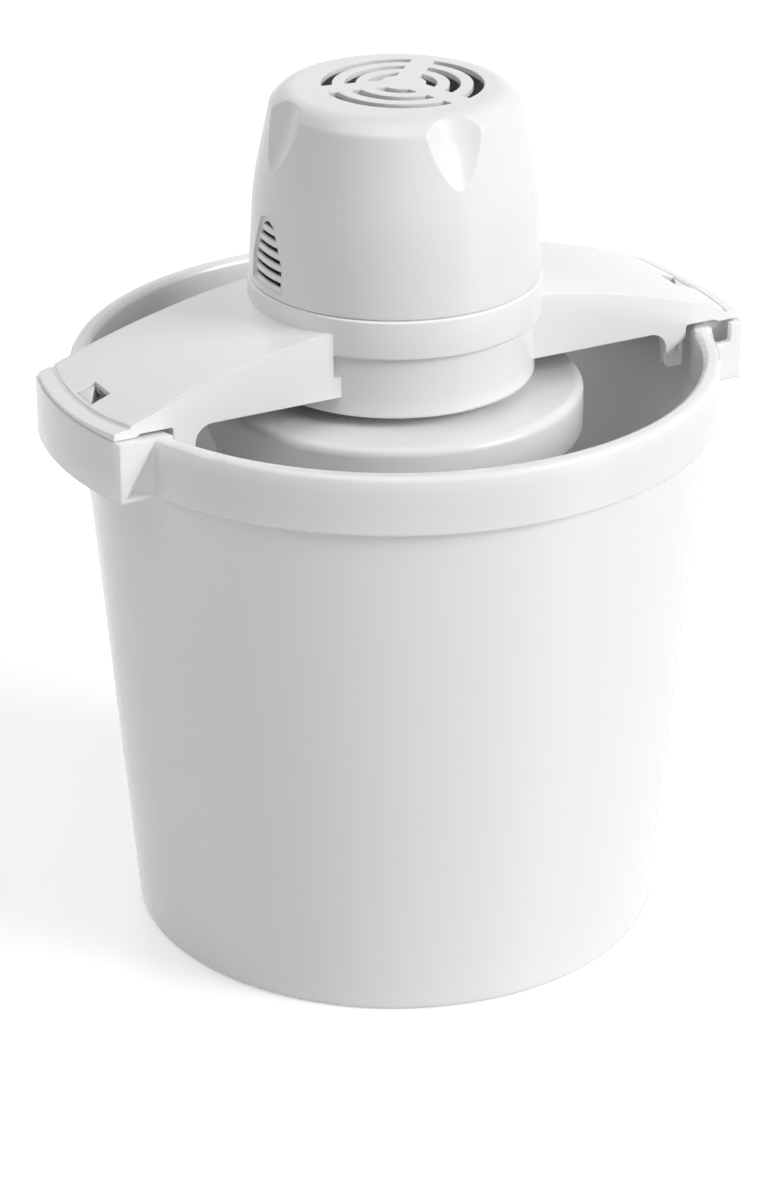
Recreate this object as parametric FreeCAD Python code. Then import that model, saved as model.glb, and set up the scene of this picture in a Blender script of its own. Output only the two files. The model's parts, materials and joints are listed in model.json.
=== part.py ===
import FreeCAD, Part
import math
import os

# Electric bucket ice cream freezer, millimetres, +Z up. The origin is the centre of the bucket's foot.
# The two arms of the motor head lie along X, and the cord gland is at the back, towards +Y.

# ---- running and seating clearances ----
running_gap = 0.05          # radial, between a shaft and its bore
seat_gap = 0.3              # between pieces that lift or turn past each other
slip_gap = 0.1              # between fixed pieces that slide together

# ---- bucket ----
bucket_height = 260.5
bucket_taper = 0.081        # outward slope of the wall, radius over height
bucket_wall = 2.8
bucket_floor = 3.0
foot_inset = 23.0           # foot of the pail, inwards from the band
foot_ring_width = 12.0
foot_ring_height = 2.0
band_radius = 140.0
band_height = 25.5
band_wall = 2.8             # the band is a skirt that hangs from the rim
band_gap_depth = 19.0
rim_width = 7.6
rim_rounding = 2.4
pivot_height = 12.0
pivot_top_radius = 6.0
pivot_foot_radius = 9.0

# ---- lugs that take the arms ----
lug_reach = 15.3            # from the band out to the lug's face
lug_half_width = 43.2
lug_wall = 3.0
lug_end_wall = 7.0          # closed end, thick enough for the scoop cut into it
lug_rise = 0.5              # lug's top above the rim
lug_pocket_depth = 17.5
lug_entry_depth = 8.5       # open end that the arm tip turns in through
lug_entry_inner = 3.0       # entry's floor, out from the band and in from the lug's corner
lug_entry_outer = 5.2
lug_entry_rounding = 1.5
lug_stop_inset = 9.0        # wall behind the entry, inwards from the open end
scoop_depth = 5.2
scoop_ledge = 1.5
catch_height = 3.5          # above the lug's top

# ---- canister and lid ----
canister_radius = 78.0
canister_wall = 1.2
canister_base_z = 9.0
canister_top_z = 245.1
canister_corner = 9.0
canister_bead = 1.4
canister_bead_height = 4.0
canister_dimple = 1.4       # dimple over the pail's pivot, wider at the foot and at the top
canister_dimple_top = 0.6
stem_bore_gap = 1.4         # round the stem in the lid's boss
lid_plate = 2.6
lid_skirt_height = 20.0
lid_skirt_wall = 1.8
lid_edge_rounding = 4.0
lid_ring_wall = 1.8
lid_ring_depth = 6.0
boss_height = 13.0
boss_across_flats = 19.4

# ---- dasher ----
stem_square = 9.0
stem_radius = 6.0
dasher_column_radius = 7.0
dasher_hub_radius = 15.0
dasher_hub_height = 12.0
dasher_neck_height = 18.0
dasher_dome_gap = 0.6       # over the canister's dimple
dasher_frame_lift = 1.5     # over the hub's foot
dasher_frame_slope = 6.0
dasher_plate = 3.2
dasher_frame_radius = 70.0
dasher_frame_top = 236.0
dasher_bar = 9.0
dasher_windows = 3
dasher_window_slope = 8.0
dasher_window_corner = 4.0
scraper_thickness = 2.2
scraper_clearance = 0.6
scraper_seat = 6.0          # the blade's flat part lies on the frame
scraper_lean = 4.0

# ---- head: drum, band, arms ----
drum_base_z = 252.5
drum_edge_rounding = 2.0
head_wall = 2.7
drum_gap = 4.06             # from the first gear's teeth to the drum's wall
head_band_height = 17.0
head_band_step = 2.8        # band stands out from the drum
seam_z = 297.0
seam_bevel = 0.8
spigot_height = 3.4
spigot_wall = 1.9
base_floor = 3.0
base_step = 2.0
pin_boss_wall = 1.4
post_web = 2.4
shell_screw_seat = 10.0     # below the seam
shell_screw_length = 22.0
shell_screw_hole = 16.0     # above the seam
plate_screw_length = 8.0
arm_half_width = 38.9
arm_wall = 2.5
arm_setback = 0.8           # tip of the arm, inwards from the lug's face
arm_root_top_z = 291.1      # top of the arm at the drum, part way out, and near the tip
arm_middle_top_z = 279.0
arm_outer_top_z = 265.8
arm_middle_inset = 49.5     # where those heights are, inwards from the tip
arm_outer_inset = 9.5
tip_slope = 0.27
arm_edge_rounding = 2.2
arm_clearance = 0.5         # between the arm's underside and the rim
tip_strip_width = 5.3
tip_strip_drop = 0.3
tip_groove_width = 2.0
tip_groove_depth = 1.2
arm_rib_spacing = 26.0
arm_rib_wall = 2.0
tooth_inset = 19.1          # inner face of the teeth, inwards from the rim's inner edge
tooth_width = 9.8
tooth_length = 17.5
tooth_skin_low = 7.0        # the skin's slanted lower edge: above the foot, and below the arm
tooth_skin_high = 4.0
tooth_toe = 0.8
tooth_toe_rounding = 3.0
tooth_corner = 8.0
window_length = 9.0
window_half_width = 7.6
window_margin = 1.2         # from the window to the groove
relief_height = 10.0

# ---- shell over the motor ----
shell_wall = 2.4
shell_step = 0.5            # shell's foot, inwards from the band
shell_waist_inset = 2.3     # inwards from the foot, and height above the seam
shell_waist_height = 40.0
shell_waist_rounding = 120.0
shell_edge_inset = 9.9      # the two corners of the top edge
shell_edge_height = 75.8
shell_edge_rounding = 5.0
shell_top_inset = 15.9
shell_top_height = 81.7
shell_top_rounding = 10.0
shell_crown_height = 82.4
flute_axis_offset = 17.5    # outwards from the shell's foot
flute_tip_inset = 4.7       # floor of a flute, inwards from the foot, and its height
flute_tip_height = 52.0
flute_belly_inset = 11.9
flute_belly_height = 68.7
flute_brow_inset = 15.5
flute_brow_height = 80.0
flute_belly_rounding = 60.0
vent_offset = 3.6
vent_rings = ((9.8, 14.4), (19.7, 24.3), (29.6, 34.2))
vent_spokes = 3
vent_spoke_width = 10.0
vent_spoke_angle = 47.0
louvre_half_width = 13.5
louvre_base_z = 300.0
louvre_top_z = 331.0
louvre_straight = 11.0
louvre_shoulder_rounding = 9.0
louvre_tip_share = 0.42
louvre_tip_drop = 2.0
louvre_recess = 1.1
louvre_slots = 6
louvre_pitch = 4.7
louvre_slot_height = 2.2
louvre_margin = 2.2

# ---- gear train: motor pinion, two compound gears, drive socket ----
tooth_addendum = 0.8        # in modules
tooth_dedendum = 1.1
tooth_backlash = 0.14
pressure_angle = math.radians(20.0)
first_module, first_pinion_teeth, first_gear_teeth = 0.8, 12, 60
second_module, second_pinion_teeth, second_gear_teeth = 0.9, 12, 48
output_module, output_pinion_teeth, output_gear_teeth = 1.25, 13, 39
gear_width = 9.0
wheel_width = 5.0
first_gear_angle = 180.0
pin_radius = 1.5

socket_hub_radius = 14.5
bush_wall = 2.0
bush_flange_radius = 19.0
bush_flange = 1.2
stem_socket_radius = 8.0
stem_socket_flange_radius = 13.5
gear_plate_z = 277.0
gear_plate_thickness = 2.0
gear_plate_gap = 7.0
plate_post_radius = 3.6
plate_post_inset = 17.0     # from the band's radius in to the posts
plate_post_angles = (20.0, 85.0, 175.0, 260.0)
shell_post_radius = 4.5
shell_post_inset = 11.5
shell_post_angles = (65.0, 215.0, 295.0)
shell_post_top_z = 322.0
screw_radius = 1.6
screw_head_radius = 3.0
screw_head_height = 2.2

# ---- motor ----
motor_pinion_base_z = 281.5
bracket_sheet = 2.0
bracket_width = 18.0
bracket_drop = 7.0
tongue_half = 5.0           # strip of the lower bracket that holds the first gear's pin
stack_base_z = 297.0
stack_height = 24.0
stack_half_width = 29.0
stack_back = 26.0
stack_inset = 15.0          # front of the core, inwards from the band
core_leg = 12.0
pole_wall = 6.0
pole_slot = 3.0
rotor_radius = 15.5
rotor_air_gap = 0.4
motor_shaft_radius = 3.0
motor_screw_spread = 24.0
bearing_radius = 7.0
bearing_height = 6.0
coil_build = 8.0
coil_half_length = 15.5
bobbin_wall = 1.2
fan_radius = 33.0
fan_blades = 7
fan_base_z = 335.0
fan_height = 12.0
fan_hub_radius = 7.0
fan_disc = 1.4
gland_radius = 4.5
gland_bore = 2.8
gland_z = 288.5
gland_barb = 1.4            # behind the wall
gland_collar = 2.2          # outside the wall
gland_inside = 3.0
gland_length = 14.0

# ---- sizes worked out from the above ----
first_centre = first_module * (first_pinion_teeth + first_gear_teeth) / 2.0
second_centre = second_module * (second_pinion_teeth + second_gear_teeth) / 2.0
output_centre = output_module * (output_pinion_teeth + output_gear_teeth) / 2.0
first_gear_tip = first_module * (first_gear_teeth / 2.0 + tooth_addendum)
drum_radius = first_centre + first_gear_tip + drum_gap + head_wall
head_band_radius = drum_radius + head_band_step
head_band_base_z = seam_z - head_band_height
shell_foot_radius = head_band_radius - shell_step
shell_waist_radius = shell_foot_radius - shell_waist_inset
shell_waist_z = seam_z + shell_waist_height
shell_top_z = seam_z + shell_top_height
shell_crown_z = seam_z + shell_crown_height
shell_post_circle = head_band_radius - shell_post_inset
plate_post_circle = head_band_radius - plate_post_inset
gear_plate_radius = drum_radius - head_wall - gear_plate_gap
stack_front = head_band_radius - stack_inset
bucket_foot_radius = band_radius - foot_inset
band_base_z = bucket_height - band_height
rim_inner_radius = band_radius - rim_width
lug_radius = band_radius + lug_reach
lug_top_z = bucket_height + lug_rise
lug_pocket_floor_z = lug_top_z - lug_pocket_depth
arm_reach = lug_radius - arm_setback
arm_base_z = bucket_height + arm_clearance
tip_base_z = lug_top_z + seat_gap
tip_strip_radius = arm_reach - tip_strip_width
tip_groove_radius = tip_strip_radius - tip_groove_width
window_outer_x = tip_groove_radius - window_margin
tooth_inner_x = rim_inner_radius - tooth_inset
tooth_outer_x = tooth_inner_x + tooth_width
tooth_foot_z = arm_base_z - tooth_length
lid_base_z = canister_top_z + seat_gap
lid_top_z = lid_base_z + lid_plate
lid_skirt_inner = canister_radius + canister_bead + seat_gap
lid_radius = lid_skirt_inner + lid_skirt_wall
drum_floor_z = drum_base_z + base_floor
gear_base_z = drum_floor_z + bush_flange + seat_gap
gear_top_z = gear_base_z + gear_width
second_gear_z = gear_top_z + 1.8
first_gear_z = motor_pinion_base_z + 0.5
boss_top_z = lid_top_z + boss_height
stem_top_z = gear_plate_z - 2.5
stack_top_z = stack_base_z + stack_height
motor_shaft_top_z = fan_base_z + fan_height + 2.0


# ---- drawing helpers ----
def vector(x, y, z):
    return FreeCAD.Vector(x, y, z)


def rounded_wire(points, place):
    """Closed wire through points (a, b) or (a, b, corner radius); place(a, b) puts a point in space."""
    edges = []
    starts = []
    ends = []
    count = len(points)
    for index, point in enumerate(points):
        here = vector(point[0], point[1], 0)
        before = vector(*points[index - 1][:2], 0) - here
        after = vector(*points[(index + 1) % count][:2], 0) - here
        radius = point[2] if len(point) > 2 else 0.0
        if radius == 0.0:
            starts.append(here)
            ends.append(here)
            continue
        before.normalize()
        after.normalize()
        half = before.getAngle(after) / 2.0
        reach = radius / math.tan(half)
        first = here + before * reach
        last = here + after * reach
        middle_line = before + after
        middle_line.normalize()
        middle = here + middle_line * (radius / math.sin(half) - radius)
        arc = Part.Arc(place(first.x, first.y), place(middle.x, middle.y), place(last.x, last.y))
        edges.append((index, arc))
        starts.append(first)
        ends.append(last)
    arcs = dict(edges)
    path = []
    for index in range(count):
        if index in arcs:
            path.append(arcs[index].toShape())
        a = ends[index]
        b = starts[(index + 1) % count]
        if (a - b).Length > 1e-6:
            path.append(Part.LineSegment(place(a.x, a.y), place(b.x, b.y)).toShape())
    return Part.Wire(path)


def revolved(points):
    """Solid of revolution about Z from (radius, height) points."""
    wire = rounded_wire(points, lambda r, z: vector(r, 0, z))
    return Part.Face(wire).revolve(vector(0, 0, 0), vector(0, 0, 1), 360)


def prism(points, z0, z1):
    """Upright prism over an (x, y) outline."""
    wire = rounded_wire(points, lambda x, y: vector(x, y, z0))
    return Part.Face(wire).extrude(vector(0, 0, z1 - z0))


def slab(points, y0, y1):
    """Prism along Y over an (x, z) outline."""
    wire = rounded_wire(points, lambda x, z: vector(x, y0, z))
    return Part.Face(wire).extrude(vector(0, y1 - y0, 0))


def cylinder(radius, z0, z1, x=0.0, y=0.0):
    return Part.makeCylinder(radius, z1 - z0, vector(x, y, z0))


def ring(outer, inner, z0, z1, x=0.0, y=0.0):
    return cylinder(outer, z0, z1, x, y).cut(cylinder(inner, z0, z1, x, y))


def block(x0, x1, y0, y1, z0, z1):
    return Part.makeBox(x1 - x0, y1 - y0, z1 - z0, vector(x0, y0, z0))


def turned(shape, degrees):
    copy = shape.copy()
    copy.rotate(vector(0, 0, 0), vector(0, 0, 1), degrees)
    return copy


def on_circle(radius, degrees):
    angle = math.radians(degrees)
    return radius * math.cos(angle), radius * math.sin(angle)


def hexagon(across_flats, z0, z1):
    corner = across_flats / math.sqrt(3.0)
    return prism([on_circle(corner, 60.0 * k) for k in range(6)], z0, z1)


def square(side, z0, z1, corner=0.0):
    half = side / 2.0
    corners = ((half, half), (-half, half), (-half, -half), (half, -half))
    return prism([(x, y, corner) for x, y in corners], z0, z1)


def fused(shapes):
    whole = shapes[0].fuse(shapes[1:]) if len(shapes) > 1 else shapes[0]
    return whole.removeSplitter()


# ---- gears ----
def involute(angle):
    return math.tan(angle) - angle


def gear(module, teeth, z0, z1, centre, tooth_towards):
    """Spur gear with involute flanks, one tooth pointing along tooth_towards degrees."""
    pitch = module * teeth / 2.0
    base = pitch * math.cos(pressure_angle)
    tip = pitch + tooth_addendum * module
    root = pitch - tooth_dedendum * module
    half_tooth = (math.pi * module / 2.0 - tooth_backlash) / (2.0 * pitch)

    def half_angle(radius):
        lean = math.acos(min(1.0, base / radius))
        return half_tooth + involute(pressure_angle) - involute(lean)

    flank_foot = max(base, root)
    foot_angle = half_angle(flank_foot)
    root_angle = min(foot_angle, 0.94 * foot_angle) if base > root else foot_angle
    flank = [(root, root_angle), (pitch, half_angle(pitch)), (tip, half_angle(tip))]
    outline = []
    for tooth in range(teeth):
        middle = math.radians(tooth_towards) + 2.0 * math.pi * tooth / teeth
        side_points = [(r, middle - a) for r, a in flank] + [(r, middle + a) for r, a in reversed(flank)]
        outline += [(centre[0] + r * math.cos(a), centre[1] + r * math.sin(a)) for r, a in side_points]
    return prism(outline, z0, z1)


def gap_direction(teeth, towards):
    """Direction of a tooth that leaves a gap pointing along towards."""
    return towards + 180.0 / teeth


first_axis = on_circle(first_centre, first_gear_angle)
shaft_spread = math.degrees(math.acos(
    (first_centre ** 2 + output_centre ** 2 - second_centre ** 2) / (2.0 * first_centre * output_centre)))
second_axis = on_circle(output_centre, first_gear_angle - shaft_spread)
second_direction = math.degrees(math.atan2(second_axis[1] - first_axis[1], second_axis[0] - first_axis[0]))
output_direction = first_gear_angle - shaft_spread + 180.0


# ---- bucket ----
def lug():
    """Hollow lug at +X: outer wall, pocket, one closed and one open end, and the catch."""
    inner_wall = lug_radius - lug_wall
    open_end = -lug_half_width + lug_wall
    outer = block(0, lug_radius, -lug_half_width, lug_half_width, band_base_z, lug_top_z)
    outer = outer.common(cylinder(lug_radius, band_base_z, lug_top_z))
    room = cylinder(inner_wall, band_base_z, lug_top_z)
    pocket = block(0, lug_radius, open_end, lug_half_width - lug_end_wall, lug_pocket_floor_z, lug_top_z)
    under_end = lug_half_width - scoop_depth - lug_wall
    under = block(0, lug_radius, open_end, under_end, band_base_z, lug_pocket_floor_z - lug_wall)
    stop_y = -lug_half_width + lug_stop_inset
    stop = block(0, lug_radius, stop_y, stop_y + lug_wall, lug_pocket_floor_z, lug_top_z)
    body = outer.cut([pocket.cut(stop).common(room), under.common(room)])
    entry_floor_z = lug_top_z - lug_entry_depth
    band_side_x = math.sqrt(band_radius ** 2 - lug_half_width ** 2)
    entry_outer_x = math.sqrt(lug_radius ** 2 - lug_half_width ** 2) - lug_entry_outer
    entry = slab([(band_side_x, lug_top_z + 1),
                  (band_side_x + lug_entry_inner, entry_floor_z, lug_entry_rounding),
                  (entry_outer_x, entry_floor_z, lug_entry_rounding), (entry_outer_x, lug_top_z + 1)],
                 -lug_half_width - 1, open_end + 1)
    catch_half = window_half_width - seat_gap
    catch_back = window_outer_x - seat_gap
    catch_front = window_outer_x - window_length + seat_gap
    corners = [(catch_back, -catch_half), (catch_front, -catch_half), (catch_back, catch_half)]
    catch = prism(corners, lug_pocket_floor_z, lug_top_z + catch_height)
    return body.cut(entry).fuse(catch)


def scoop():
    """Wedge cut into a closed lug end: deepest at the foot, running out at the top beside the band."""
    inner_x = math.sqrt(band_radius ** 2 - lug_half_width ** 2)
    outer_x = math.sqrt(lug_radius ** 2 - lug_half_width ** 2) - scoop_ledge
    ledge_z = band_base_z + scoop_ledge
    top = vector(inner_x, lug_half_width, lug_top_z - 1.0)
    inner = vector(inner_x, lug_half_width, ledge_z)
    deep = vector((inner_x + 1.5 * outer_x) / 2.5, lug_half_width - scoop_depth, ledge_z)
    outer = vector(outer_x, lug_half_width, ledge_z)
    free = vector(inner_x, lug_half_width + scoop_depth, ledge_z)
    faces = [(top, inner, deep), (top, deep, outer), (top, outer, free), (top, free, inner),
             (inner, free, outer, deep)]
    return Part.Solid(Part.Shell([Part.Face(Part.makePolygon(list(face) + [face[0]])) for face in faces]))


def bucket():
    inner_foot = bucket_foot_radius - bucket_wall
    floor_z = foot_ring_height + bucket_floor
    gap_top_z = band_base_z + band_gap_depth
    ring_inner = bucket_foot_radius - foot_ring_width
    wall_at_band = bucket_foot_radius + bucket_taper * band_base_z
    skirt_inner = band_radius - band_wall
    knee_z = floor_z + (rim_inner_radius - inner_foot) / bucket_taper
    band_gap = [(wall_at_band, band_base_z), (rim_inner_radius + bucket_wall, gap_top_z),
                (skirt_inner, gap_top_z), (skirt_inner, band_base_z)]
    pail = revolved([(0, foot_ring_height), (ring_inner, foot_ring_height), (ring_inner, 0),
                     (bucket_foot_radius, 0, 2.5)] + band_gap + [
                     (band_radius, band_base_z, 1.0), (band_radius, bucket_height, rim_rounding),
                     (rim_inner_radius, bucket_height, rim_rounding), (rim_inner_radius, knee_z, 30.0),
                     (inner_foot, floor_z, 4.0), (pivot_foot_radius, floor_z, 1.0),
                     (pivot_top_radius, floor_z + pivot_height, 1.5), (0, floor_z + pivot_height)])
    inside = revolved([(0, floor_z), (inner_foot, floor_z), (rim_inner_radius, knee_z),
                       (rim_inner_radius, lug_top_z + catch_height), (0, lug_top_z + catch_height)])
    plain_lug = lug().cut([scoop(), inside, revolved(band_gap)])
    return fused([pail, plain_lug, turned(plain_lug, 180.0)])


# ---- canister, lid and dasher ----
def canister():
    wall = canister_wall
    pivot_top = foot_ring_height + bucket_floor + pivot_height + seat_gap
    dimple_foot = pivot_foot_radius + canister_dimple
    dimple_top = pivot_top_radius + canister_dimple_top
    inner = canister_radius - wall
    bead = canister_radius + canister_bead
    bead_base_z = canister_top_z - canister_bead_height
    floor_z = canister_base_z + wall
    return revolved([(0, pivot_top), (dimple_top, pivot_top, 1.0), (dimple_foot, canister_base_z, 2.0),
                     (canister_radius, canister_base_z, canister_corner), (canister_radius, bead_base_z),
                     (bead, bead_base_z + wall), (bead, canister_top_z, 1.0), (inner, canister_top_z, 1.0),
                     (inner, floor_z, canister_corner - wall), (dimple_foot + wall, floor_z, 1.0),
                     (dimple_top + wall, pivot_top + wall, 1.0), (0, pivot_top + wall)])


def canister_lid():
    bore = stem_radius + stem_bore_gap
    ring_outer = canister_radius - canister_wall - seat_gap
    plate = revolved([(bore, lid_base_z), (ring_outer - lid_ring_wall, lid_base_z, 0.5),
                      (ring_outer - lid_ring_wall, lid_base_z - lid_ring_depth),
                      (ring_outer, lid_base_z - lid_ring_depth), (ring_outer, lid_base_z),
                      (lid_skirt_inner, lid_base_z, 1.0), (lid_skirt_inner, lid_top_z - lid_skirt_height),
                      (lid_radius, lid_top_z - lid_skirt_height), (lid_radius, lid_top_z, lid_edge_rounding),
                      (bore, lid_top_z)])
    boss = hexagon(boss_across_flats, lid_base_z, boss_top_z).cut(cylinder(bore, lid_base_z, boss_top_z))
    return fused([plate, boss])


def dasher_frame(base_z):
    """One side of the frame along +X, with a ladder of windows."""
    half = dasher_plate / 2.0
    outer = dasher_frame_radius
    crown = dasher_frame_slope + dasher_window_corner
    frame = slab([(0, base_z + dasher_frame_slope), (dasher_hub_radius, base_z),
                  (outer - dasher_frame_slope, base_z, 4.0), (outer, base_z + 8, 4.0),
                  (outer, dasher_frame_top, 8.0), (outer - 24, dasher_frame_top, 10.0),
                  (0, dasher_frame_top - crown)], -half, half)
    pitch = (dasher_frame_top - base_z - dasher_bar) / dasher_windows
    window_inner = dasher_column_radius + dasher_window_corner
    window_outer = outer - dasher_bar
    for index in range(dasher_windows):
        low = base_z + dasher_bar + index * pitch
        high = base_z + (index + 1) * pitch
        if index == 0:
            low += dasher_bar
        if index == dasher_windows - 1:
            high -= dasher_frame_slope
        corners = ((window_inner, low + dasher_window_slope), (window_outer, low),
                   (window_outer, high - dasher_window_slope), (window_inner, high))
        frame = frame.cut(slab([(x, z, dasher_window_corner) for x, z in corners], -half, half))
    return frame


def dasher():
    dome_top = foot_ring_height + bucket_floor + pivot_height + 2 * seat_gap + canister_wall
    dome_foot = pivot_foot_radius + canister_dimple + canister_wall + dasher_dome_gap
    dome_crest = pivot_top_radius + canister_dimple_top + canister_wall + dasher_dome_gap
    hub_z = canister_base_z + canister_wall + seat_gap
    column = revolved([(0, dome_top), (dome_crest, dome_top), (dome_foot, hub_z),
                       (dasher_hub_radius, hub_z, 1.0), (dasher_hub_radius, hub_z + dasher_hub_height, 3.0),
                       (dasher_column_radius, hub_z + dasher_neck_height, 3.0),
                       (dasher_column_radius, lid_base_z - 3.0), (stem_radius, lid_base_z - 2.0),
                       (stem_radius, boss_top_z - 1.0), (0, boss_top_z - 1.0)])
    stem = square(stem_square, boss_top_z - 2.0, stem_top_z, 1.2)
    frame = dasher_frame(hub_z + dasher_frame_lift)
    dome = revolved([(0, hub_z - 1), (dome_foot, hub_z - 1), (dome_foot, hub_z), (dome_crest, dome_top),
                     (0, dome_top)])
    return fused([column, stem, frame, turned(frame, 180.0)]).cut(dome)


def scraper_blades():
    half = dasher_plate / 2.0
    edge = canister_radius - canister_wall - scraper_clearance
    face = half + scraper_thickness
    lean_y = half + scraper_lean
    edge_x = math.sqrt(edge ** 2 - lean_y ** 2)
    seat_x = dasher_frame_radius - scraper_seat
    knee_x = dasher_frame_radius + 1.5
    outline = [(seat_x, half), (knee_x, half, 1.0), (edge_x, lean_y), (edge_x - 1.6, lean_y + 1.5),
               (knee_x - 1.0, face, 1.0), (seat_x, face)]
    blade = prism(outline, canister_base_z + canister_corner, dasher_frame_top - dasher_bar)
    return [blade, turned(blade, 180.0)]


# ---- head: base with drum, band and arms ----
def arm_body(drop, reach, half_width):
    """Arm along +X with its curved top lowered by drop, cut to an arc of the given reach."""
    root_x = math.sqrt((drum_radius - head_wall) ** 2 - arm_half_width ** 2) - arm_edge_rounding
    side = -half_width
    start = vector(root_x, side, arm_root_top_z - drop)
    middle = vector(arm_reach - arm_middle_inset, side, arm_middle_top_z - drop)
    outer = vector(arm_reach - arm_outer_inset, side, arm_outer_top_z - drop)
    foot = vector(outer.x + (outer.z - arm_base_z) / tip_slope, side, arm_base_z)
    low_start = vector(root_x, side, arm_base_z)
    edges = [Part.Arc(start, middle, outer).toShape()]
    for a, b in ((outer, foot), (foot, low_start), (low_start, start)):
        edges.append(Part.LineSegment(a, b).toShape())
    body = Part.Face(Part.Wire(edges)).extrude(vector(0, 2 * half_width, 0))
    return body.common(cylinder(reach, tooth_foot_z, arm_root_top_z))


def arm_ribs():
    """Two ribs along the channel under the arm, and the curved wall that hangs inside the rim."""
    under_top = arm_body(arm_wall / 4.0, arm_reach - 1.0, arm_half_width - 1.0)
    rib_low = arm_base_z + arm_wall
    half = arm_rib_wall / 2.0
    ribs = [block(drum_radius - head_wall, tooth_inner_x, y - half, y + half, rib_low, arm_root_top_z)
            for y in (-arm_rib_spacing / 2.0, arm_rib_spacing / 2.0)]
    hung_outer = tooth_outer_x + arm_wall * 2.0
    hung_low = tooth_foot_z + tooth_skin_low
    hung = ring(hung_outer, hung_outer - arm_wall, hung_low, arm_root_top_z)
    hung_side = arm_half_width - arm_wall / 2.0
    low = hung.common(block(drum_radius, arm_reach, -hung_side, hung_side, hung_low, arm_base_z + arm_wall))
    return [rib.common(under_top) for rib in ribs] + [low, hung.common(under_top)]


def tooth(side):
    """Tooth at one side of the arm: the skin ends on a slant, and a tab behind it reaches lower."""
    root_x = tooth_inner_x - tooth_corner - 2.0
    top_z = arm_base_z + 2.0
    slant_low_z = tooth_foot_z + tooth_skin_low
    skin = slab([(root_x, top_z), (root_x, arm_base_z), (tooth_inner_x, arm_base_z, tooth_corner),
                 (tooth_inner_x, slant_low_z, 0.8), (tooth_outer_x, arm_base_z - tooth_skin_high),
                 (tooth_outer_x, top_z)],
                side * (arm_half_width - arm_wall), side * arm_half_width)
    tab = slab([(root_x, top_z), (root_x, arm_base_z), (tooth_inner_x, arm_base_z, tooth_corner),
                (tooth_inner_x, slant_low_z, 1.5),
                (tooth_inner_x + tooth_toe, tooth_foot_z, tooth_toe_rounding),
                (tooth_outer_x, tooth_foot_z, 1.0), (tooth_outer_x, top_z)],
               side * (arm_half_width - 2 * arm_wall), side * (arm_half_width - arm_wall + 0.4))
    return [skin, tab]


def arm():
    """One hollow arm along +X: skin, side walls, tip strip and groove, window, teeth and ribs."""
    high = arm_body(0.0, tip_strip_radius, arm_half_width)
    long_edges = [e for e in high.Edges
                  if abs(abs(e.CenterOfMass.y) - arm_half_width) < 0.01
                  and e.CenterOfMass.z > arm_base_z + arm_wall and e.Length > tip_strip_width]
    top_edges = [e for e in long_edges if abs(e.tangentAt(e.FirstParameter).z) < 0.7]
    high = high.makeFillet(arm_edge_rounding, top_edges)
    outside = high.fuse(arm_body(tip_strip_drop, arm_reach, arm_half_width))
    hollow = arm_body(arm_wall, arm_reach - arm_wall, arm_half_width - arm_wall)
    groove = ring(tip_strip_radius, tip_groove_radius, tooth_foot_z, arm_root_top_z).cut(
        arm_body(tip_groove_depth, arm_reach + 5, arm_half_width + 5))
    body = outside.cut([hollow, groove]).fuse(arm_ribs() + tooth(-1) + tooth(1))
    rim_notch = slab([(tooth_outer_x, tooth_foot_z - 1), (tooth_outer_x, arm_base_z + 1.5, 1.4),
                      (band_radius - rim_rounding, arm_base_z + 1.5), (band_radius, tip_base_z),
                      (arm_reach + 5, tip_base_z), (arm_reach + 5, tooth_foot_z - 1)],
                     -arm_half_width - 5, arm_half_width + 5)
    window = block(window_outer_x - window_length, window_outer_x, -window_half_width, window_half_width,
                   arm_base_z - 1, arm_root_top_z)
    relief_x = math.sqrt(head_band_radius ** 2 - arm_half_width ** 2)
    relief = block(relief_x - 10, relief_x, arm_half_width - arm_wall, arm_half_width + 1,
                   head_band_base_z - relief_height, head_band_base_z)
    return body.cut([rim_notch, window, relief])


def base_inside():
    """Room inside drum and band."""
    drum_inner = drum_radius - head_wall
    band_inner = head_band_radius - head_wall
    step_z = head_band_base_z + base_step / 2.0
    above_z = seam_z + spigot_height
    return revolved([(0, drum_floor_z), (drum_inner, drum_floor_z, 1.5), (drum_inner, step_z),
                     (band_inner, step_z + base_step), (band_inner, above_z), (0, above_z)])


def seam_spigot():
    """Ring on the band's top edge that centres the shell."""
    shell_draft = (shell_foot_radius - shell_waist_radius) / (shell_waist_z - seam_z)
    outer = shell_foot_radius - shell_wall - slip_gap - shell_draft * spigot_height
    band_inner = head_band_radius - head_wall
    low_z = seam_z - base_step
    top_z = seam_z + spigot_height
    return revolved([(band_inner - 2.2, low_z), (band_inner + 0.5, low_z), (band_inner + 0.5, seam_z),
                     (outer, seam_z), (outer, top_z), (outer - spigot_wall, top_z),
                     (outer - spigot_wall, seam_z)])


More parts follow.
